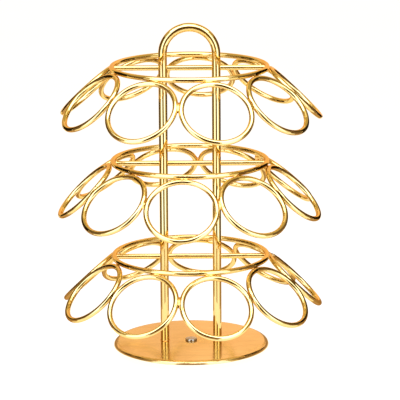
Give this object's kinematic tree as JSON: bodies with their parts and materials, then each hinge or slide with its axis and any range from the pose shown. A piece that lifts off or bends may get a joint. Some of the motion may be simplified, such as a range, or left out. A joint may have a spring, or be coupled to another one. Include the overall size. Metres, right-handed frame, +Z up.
{
  "type": "coffee capsule carousel",
  "caption": "Revolving countertop carousel of gold-plated wire: tiers of tilted open rings that hold coffee capsules, on a tower with an arched handle.",
  "frame": {"origin": "on the turning axis, on the surface that the feet stand on", "axes": "+Z up along the turning axis, -Y towards the front, +X to the right; the tower's two legs lie in the XZ plane"},
  "size_m": [0.1956, 0.1955, 0.2477],
  "materials": {
    "gold_wire": "polished",
    "gold_disc": "polished",
    "bright_steel": "polished",
    "grey_steel": "satin",
    "white_nylon": "matte",
    "black_rubber": "matte"
  },
  "bodies": {
    "base": {"foot_1": "black_rubber", "foot_2": "black_rubber", "foot_3": "black_rubber", "foot_4": "black_rubber", "lower_plate": "grey_steel", "pivot_rivet": "bright_steel"},
    "carousel": {"turntable_disc": "gold_disc", "tower_frame": "gold_wire", "hoop_bottom": "gold_wire", "hoop_middle": "gold_wire", "hoop_top": "gold_wire", "crossbar_bottom": "gold_wire", "crossbar_middle": "gold_wire", "crossbar_top": "gold_wire", "ring_bottom_1": "gold_wire", "ring_bottom_2": "gold_wire", "ring_bottom_3": "gold_wire", "ring_bottom_4": "gold_wire", "ring_bottom_5": "gold_wire", "ring_bottom_6": "gold_wire", "ring_bottom_7": "gold_wire", "ring_bottom_8": "gold_wire", "ring_bottom_9": "gold_wire", "ring_middle_1": "gold_wire", "ring_middle_2": "gold_wire", "ring_middle_3": "gold_wire", "ring_middle_4": "gold_wire", "ring_middle_5": "gold_wire", "ring_middle_6": "gold_wire", "ring_middle_7": "gold_wire", "ring_middle_8": "gold_wire", "ring_middle_9": "gold_wire", "ring_top_1": "gold_wire", "ring_top_2": "gold_wire", "ring_top_3": "gold_wire", "ring_top_4": "gold_wire", "ring_top_5": "gold_wire", "ring_top_6": "gold_wire", "ring_top_7": "gold_wire", "ring_top_8": "gold_wire", "ring_top_9": "gold_wire"},
    "ball_race": {"ball_cage": "white_nylon", "ball_01": "bright_steel", "ball_02": "bright_steel", "ball_03": "bright_steel", "ball_04": "bright_steel", "ball_05": "bright_steel", "ball_06": "bright_steel", "ball_07": "bright_steel", "ball_08": "bright_steel", "ball_09": "bright_steel", "ball_10": "bright_steel", "ball_11": "bright_steel", "ball_12": "bright_steel"}
  },
  "joints": [
    {"name": "carousel_spin", "type": "hinge", "parent": "base", "child": "carousel", "pos_m": [0, 0, 0], "axis": [0, 0, 1], "continuous": true},
    {"name": "ball_race_roll", "type": "hinge", "parent": "base", "child": "ball_race", "pos_m": [0, 0, 0], "axis": [0, 0, 1], "continuous": true}
  ],
  "couplings": [
    {"joint": "ball_race_roll", "follows": "carousel_spin", "ratio": 0.5}
  ]
}
